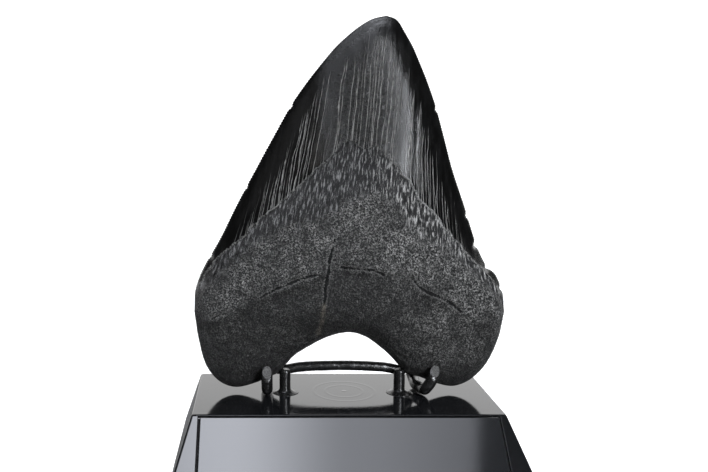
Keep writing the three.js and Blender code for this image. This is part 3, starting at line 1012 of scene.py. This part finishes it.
def wire_curve(route, count):
    """Centripetal curve through the points of a route, evenly resampled."""
    knots = [np.array(p, float) for p in route]
    knots = [2 * knots[0] - knots[1]] + knots + [2 * knots[-1] - knots[-2]]
    track = []
    for a, b, c, d in zip(knots, knots[1:], knots[2:], knots[3:]):
        t1 = np.linalg.norm(b - a) ** 0.5
        t2 = t1 + np.linalg.norm(c - b) ** 0.5
        t3 = t2 + np.linalg.norm(d - c) ** 0.5
        for t in np.linspace(t1, t2, LEG_POINTS, endpoint=False):
            ab, bc = blend(t, a, b, 0.0, t1), blend(t, b, c, t1, t2)
            cd = blend(t, c, d, t2, t3)
            abc, bcd = blend(t, ab, bc, 0.0, t2), blend(t, bc, cd, t1, t3)
            track.append(blend(t, abc, bcd, t1, t2))
    track = np.array(track + [knots[-2]])
    reach = np.concatenate([[0], np.cumsum(np.linalg.norm(np.diff(track, axis=0), axis=1))])
    even = np.linspace(0, reach[-1], count)
    return np.column_stack([np.interp(even, reach, track[:, k]) for k in range(3)]), even


def carried_rings(centre, reach, radius, cut_slope):
    """Round sections carried along the centre line, and the direction at its first end."""
    ahead = np.gradient(centre, axis=0)
    ahead /= np.linalg.norm(ahead, axis=1)[:, None]
    across = np.cross(ahead[0], (0.0, 0.0, 1.0) if abs(ahead[0][2]) < 0.9 else (0.0, 1.0, 0.0))
    angles = turns(WIRE_SIDES)
    rings = []
    for k, (spot, way) in enumerate(zip(centre, ahead)):
        across = across - way * (across @ way)
        across /= np.linalg.norm(across)
        side = np.cross(way, across)
        for_end = min(reach[k], reach[-1] - reach[k])
        size = radius * math.sqrt(1 - END_ROUND * max(0.0, 1 - for_end / END_REACH) ** 2)
        ring = spot + size * (np.cos(angles)[:, None] * across + np.sin(angles)[:, None] * side)
        lean = (ring - spot) @ np.array([0.0, 1.0, 0.0])
        share = 1 - smooth(reach[k], 0.0, CUT_REACH)
        rings.append(ring - way * (lean * cut_slope * share)[:, None])
    return rings, ahead[0]


def wire(name, route, radius, cut_slope=0.0, seed=0):
    """A wire with rounded ends. cut_slope tilts the first end's face towards the viewer."""
    legs = np.linalg.norm(np.diff(np.array(route, float), axis=0), axis=1)
    centre, reach = wire_curve(route, int(sum(legs) / WIRE_STEP))
    rings, first_way = carried_rings(centre, reach, radius, cut_slope)
    points = np.concatenate(rings)
    out = points - np.repeat(centre, WIRE_SIDES, axis=0)
    lumps = 0.05 * lattice_noise(points, 3.0, 200 + seed)
    lumps = lumps + 0.02 * lattice_noise(points, 1.1, 210 + seed)
    points = points + out / radius * lumps[:, None]
    rings = list(points.reshape(len(rings), WIRE_SIDES, 3))
    middle = rings[0].mean(axis=0)
    caps = []
    for share in CAP_SHARES:
        ring = middle + (rings[0] - middle) * share
        torn = 0.16 * lattice_noise(ring, 0.7, 230 + seed) if cut_slope else np.zeros(WIRE_SIDES)
        caps.append(ring - first_way * (torn + 0.06)[:, None])
    piece = loft(name, [
        [(x, y + MIDLINE, z + DECK) for x, y, z in ring.tolist()] for ring in caps + rings
    ])
    if cut_slope:
        tips = np.zeros(len(piece.data.vertices))
        tips[:WIRE_SIDES * len(CAP_SHARES)] = 1.0
        store(piece, "cut_tip", tips)
    print(name, "length", round(reach[-1], 1), "mm,", len(piece.data.polygons), "faces")
    return piece


# %% Hooks, posts and cross bar
BAR_RADIUS = 1.8
PRONG_Y = -6.1
HOOK_REAR_X = 27.1
POST_TOP, POST_FOOT = 8.7, -5.7


def hook_route(outward, tip_x, tip_z, lean):
    foot = tip_x - lean
    route = [
        (tip_x, PRONG_Y, tip_z), (tip_x - lean * 0.5, PRONG_Y, 5.8), (foot, -5.3, 3.2),
        (foot - 0.1 * lean, -3, 2.4), (HOOK_REAR_X, 1.5, 2.4), (HOOK_REAR_X, 6, 2.7),
        (HOOK_REAR_X - 0.4, 9.2, 4.6), (HOOK_REAR_X - 1.6, 10.8, 8), (HOOK_REAR_X - 3, 11.2, 12),
        (HOOK_REAR_X - 4, 11.1, 16), (HOOK_REAR_X - 4.4, 11, 21),
    ]
    return [(outward * x, y, z) for x, y, z in route]


BAR_HALF = [
    (25.0, 8.6, 6.7), (22.8, 6, 6.9), (20.6, 4.2, 7.3), (16, 4.1, 8.2), (9, 4.1, 8.7),
    (0, 4.1, 8.9),
]
bar_route = [(-x, y, z) for x, y, z in BAR_HALF[:-1]] + BAR_HALF[::-1]

hook_left = wire("wire_hook_left", hook_route(-1, 27.2, 9.4, 0.1), WIRE_RADIUS, CUT_SLOPE, 1)
hook_right = wire("wire_hook_right", hook_route(1, 32.2, 9.8, 3.2), WIRE_RADIUS, CUT_SLOPE, 2)
bar = wire("wire_crossbar", bar_route, BAR_RADIUS, seed=3)
posts = {
    side: wire(f"wire_{name}", [(side * POST_X, 0, z) for z in (POST_TOP, 3, POST_FOOT)],
               WIRE_RADIUS, seed=5 + side)
    for side, name in ((-1, "post_left"), (1, "post_right"))
}

# %% [markdown]
# Each post is fixed with a blob of black glue that crept up the wire and ran out on the
# polished top, so it is a thin concave skirt with an uneven edge.

# %% Glue
GLUE_RADIUS, GLUE_HEIGHT = 5.0, 1.9
GLUE_SIDES, GLUE_STEPS = 48, 14


def glue_skirt(name, side, seed):
    rings = []
    angles = turns(GLUE_SIDES)
    circle = np.column_stack([np.cos(angles), np.sin(angles), np.zeros(GLUE_SIDES)])
    reach = GLUE_RADIUS * (0.93 + 0.07 * lattice_noise(circle, 0.8, seed))
    climb = GLUE_HEIGHT * (1 + 0.18 * lattice_noise(circle, 1.0, seed + 5))
    for k in range(GLUE_STEPS + 1):
        t = k / GLUE_STEPS
        radius = WIRE_RADIUS + 0.02 + (reach - WIRE_RADIUS) * (1 - t) ** 2.3
        height = 0.03 + climb * t ** 1.3
        rings.append([(side * POST_X + r * math.cos(a), MIDLINE + r * math.sin(a), DECK + h)
                      for r, a, h in zip(radius, angles, height)])
    return loft(name, rings)


glue = {
    side: glue_skirt(f"glue_{name}", side, 240 + side)
    for side, name in ((-1, "left"), (1, "right"))
}

# %% [markdown]
# ### Finishes of the stand
# All of the stand is black and glossy, and what tells the pieces apart is how sharply each
# one mirrors. The moulded base is almost a mirror with a trace of dust and handling marks,
# the laminate is a little softer, the dipped wire is lumpy, and the glue is wet-looking.

# %% Moulded base
SINK_CENTRE = (0.9, 1.6)
SINK_RINGS, SINK_WIDTH = (6.7, 11.0), 0.9
MOULDED_DARK, GROOVE_PAINTED_SHADE, DUST_PALE = grey(0.006, (0.95, 1.0, 1.1)), grey(0.001), grey(0.09)
MOULDED_BUMP, LAMINATE_BUMP, WIRE_BUMP, GLUE_BUMP = 0.00006, 0.000006, 0.00022, 0.0003


def groove_mask(g, x, y, z):
    """1 on the walls and floor of the pocket round the plate, which are rougher and darkened with
    painted shade.
    """
    lean = math.atan2(1, FRONT_SLOPE)
    off = g.times(g.less(y, TOP_FRONT), -math.sin(lean))
    depth = g.plus(off, g.times(g.less(z, DECK), math.cos(lean)))
    half = PLATE_WIDTH / 2 + PLATE_GROOVE
    foot = DECK - (PLATE_MARGIN + PLATE_LENGTH + PLATE_GROOVE) * math.sin(lean)
    sunk = g.fall(depth, -0.45, -0.15)
    between_ends = g.fall(g.math("ABSOLUTE", x), half + 0.02, half + 0.06)
    above_foot = g.step(z, foot - 0.3, foot - 0.1)
    before_top = g.fall(y, TOP_FRONT - 0.2, TOP_FRONT - 0.1)
    return g.times(sunk, between_ends, above_foot, before_top)


def sink_marks(g, x, y, z):
    """Faint rings and a centre dot on the flat top."""
    dx, dy = g.less(x, SINK_CENTRE[0]), g.less(y, SINK_CENTRE[1] + MIDLINE)
    far = g.math("SQRT", g.plus(g.times(dx, dx), g.times(dy, dy)))
    inner, outer = [
        g.fall(g.math("ABSOLUTE", g.less(far, radius)), 0.0, SINK_WIDTH)
        for radius in SINK_RINGS
    ]
    on_top = g.step(z, DECK - 0.3, DECK - 0.1)
    dot = g.step(far, 0.5, 1.1, 2.0, 0.0)
    return g.math("MAXIMUM", g.times(g.plus(inner, outer), on_top), g.times(on_top, dot))


def moulded_black():
    g = Graph("moulded_black")
    spot = g.place_mm()
    smear = g.noise(spot, 0.05, detail=4, rough=0.6)
    scratches = g.noise(g.scaled(spot, (0.25, 3.0, 1.0)), 0.9, detail=6, rough=0.75)
    dust = g.step(g.noise(spot, 2.3, detail=2), 0.72, 0.8)
    along = g.split(spot)
    groove = groove_mask(g, *along)
    colour = g.mix(g.times(dust, 0.5), MOULDED_DARK, DUST_PALE)
    # Painted shade: the pocket round the plate is darkened; it is also made rougher.
    colour = g.mix(groove, colour, GROOVE_PAINTED_SHADE)
    rough = g.plus(g.step(smear, 0.35, 0.7, 0.05, 0.11), g.times(dust, 0.2), g.times(groove, 0.7))
    height = g.plus(g.times(sink_marks(g, *along), 0.55), g.times(scratches, 0.14))
    return g.finish(colour, rough, g.bump(height, MOULDED_BUMP, 0.8))


# %% Laminate, wire and glue
LAMINATE_TINT = (0.95, 1.0, 1.08)


def plate_laminate():
    g = Graph("plate_laminate")
    spot = g.place_mm()
    brush = g.noise(g.scaled(spot, (0.12, 2.0, 2.0)), 1.2, detail=5, rough=0.7)
    smear = g.noise(spot, 0.04)
    colour = g.mix(brush, grey(0.008, LAMINATE_TINT), grey(0.014, LAMINATE_TINT))
    return g.finish(colour, g.step(smear, 0.3, 0.7, 0.05, 0.08), g.bump(brush, LAMINATE_BUMP, 0.4))


def dipped_wire():
    g = Graph("dipped_wire")
    spot = g.place_mm()
    lumps = g.noise(spot, 0.5, detail=4, rough=0.6)
    grain = g.noise(spot, 3.0, detail=5, rough=0.75)
    tip = g.mask("cut_tip")
    coating = g.mix(g.step(grain, 0.45, 0.75), grey(0.004), grey(0.02))
    steel = g.mix(g.step(grain, 0.42, 0.62), grey(0.008), grey(0.1, (1.0, 0.98, 0.94)))
    rough = g.plus(g.step(lumps, 0.3, 0.7, 0.16, 0.3), g.times(tip, 0.4))
    height = g.plus(lumps, g.times(grain, 0.25))
    return g.finish(g.mix(tip, coating, steel), rough, g.bump(height, WIRE_BUMP, 0.7))


def black_glue():
    g = Graph("black_glue")
    ripple = g.noise(g.place_mm(), 0.45)
    colour = g.mix(ripple, grey(0.003), grey(0.01))
    g.shader.inputs["Specular IOR Level"].default_value = 0.25
    return g.finish(colour, g.step(ripple, 0.3, 0.7, 0.16, 0.3), g.bump(ripple, GLUE_BUMP, 0.6))


# %% Dress and place the stand
STAND = [
    ("moulded_base", moulded_black(), {"base": base}),
    ("plate", plate_laminate(), {"name_plate": plate}),
    ("coated_wire", dipped_wire(), {
        "crossbar": bar, "hook_left": hook_left, "hook_right": hook_right,
        "post_left": posts[-1], "post_right": posts[1],
    }),
    ("glue", black_glue(), {"glue_left": glue[-1], "glue_right": glue[1]}),
]
for slot, material, pieces in STAND:
    for node, piece in pieces.items():
        piece.data.materials.clear()
        piece.data.materials.append(material)
        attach(piece, "root")
        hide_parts(node)
print("stand pieces:", [node for _, _, pieces in STAND for node in pieces])

# %% [markdown]
# ## Floor and backdrop
# The floor is plain pale paint. It is lit from above near the stand, and to the camera it also
# glows with painted light, a little more further out, so that it stays pale right out to its
# edge. The bright panel far behind is what the polished top of the base mirrors.

# %% Floor and backdrop
FLOOR_RADIUS = 3.0
GLOW_START, GLOW_FULL = 0.3, 1.0
NEAR_GLOW, FAR_GLOW = 0.62, 1.0
BOUNCE = 0.14
PANEL_GLOW = 1.6
PANEL_HALF_WIDTH, PANEL_HEIGHT, PANEL_AWAY = 1.6, 1.5, 1.4
OVERHEAD_HEIGHT = 1.05
OVER_LEFT, OVER_RIGHT, OVER_NEAR, OVER_FAR = -0.5, 0.33, -0.6, -0.1
FLOOR_SIDES, FLOOR_GAP = 96, 0.00005


def floor_paint():
    g = Graph("pale_floor_paint")
    spot = g.place()
    grain = g.noise(g.scaled(spot, (40.0, 40.0, 40.0)), 1.0)
    far = g.add("VectorMath", {"operation": "LENGTH"}, output="Value", i0=spot)
    seen = g.add("LightPath")
    g.put(g.shader, "Emission Color", grey(1.0))
    # Painted light: for the camera the floor glows, more strongly further out; other rays see it as
    # dim grey.
    glow = g.step(far, GLOW_START, GLOW_FULL, NEAR_GLOW, FAR_GLOW)
    g.put(g.shader, "Emission Strength", g.times(seen, glow))
    paint = g.mix(grain, grey(0.78), grey(0.82))
    return g.finish(g.mix(seen, grey(BOUNCE), paint), 0.6)


def glow(name, strength, tint=(1.0, 1.0, 1.0)):
    g = Graph(name)
    g.put(g.shader, "Emission Color", grey(1.0, tint))
    g.put(g.shader, "Emission Strength", strength(g))
    return g.finish(grey(0.0), 1.0)


def overhead_strength(g):
    """Brightest a little left of the middle and fading to the right, as one lamp in a box does."""
    x = g.split(g.place())[0]
    rise = g.step(x, -0.4, -0.08, 4.0, 11.6)
    fall = g.step(x, -0.08, 0.13, 1.0, 0.42)
    return g.times(rise, fall, g.step(x, 0.12, 0.34, 1.0, 0.6))


def stage_sheet(name, corners, material):
    """One flat sheet of the stage from its corners in metres."""
    face = tuple(range(len(corners)))
    sheet = add_mesh(name, np.array(corners) / MM, [face], smooth_shaded=False)
    sheet.data.materials.append(material)
    return sheet


floor = stage_sheet("floor", [
    (FLOOR_RADIUS * math.cos(a), FLOOR_RADIUS * math.sin(a), -FLOOR_GAP)
    for a in turns(FLOOR_SIDES)
], floor_paint())
back_panel = stage_sheet("bright_panel", [
    (x * PANEL_HALF_WIDTH, PANEL_AWAY, z)
    for x, z in ((-1, 0.02), (1, 0.02), (1, PANEL_HEIGHT), (-1, PANEL_HEIGHT))
], glow("back_glow", lambda g: PANEL_GLOW))
over_panel = stage_sheet("overhead_panel", [
    (x, y, OVERHEAD_HEIGHT)
    for x, y in ((OVER_LEFT, OVER_NEAR), (OVER_LEFT, OVER_FAR),
                 (OVER_RIGHT, OVER_FAR), (OVER_RIGHT, OVER_NEAR))
], glow("overhead_glow", overhead_strength, (0.9, 0.93, 1.02)))
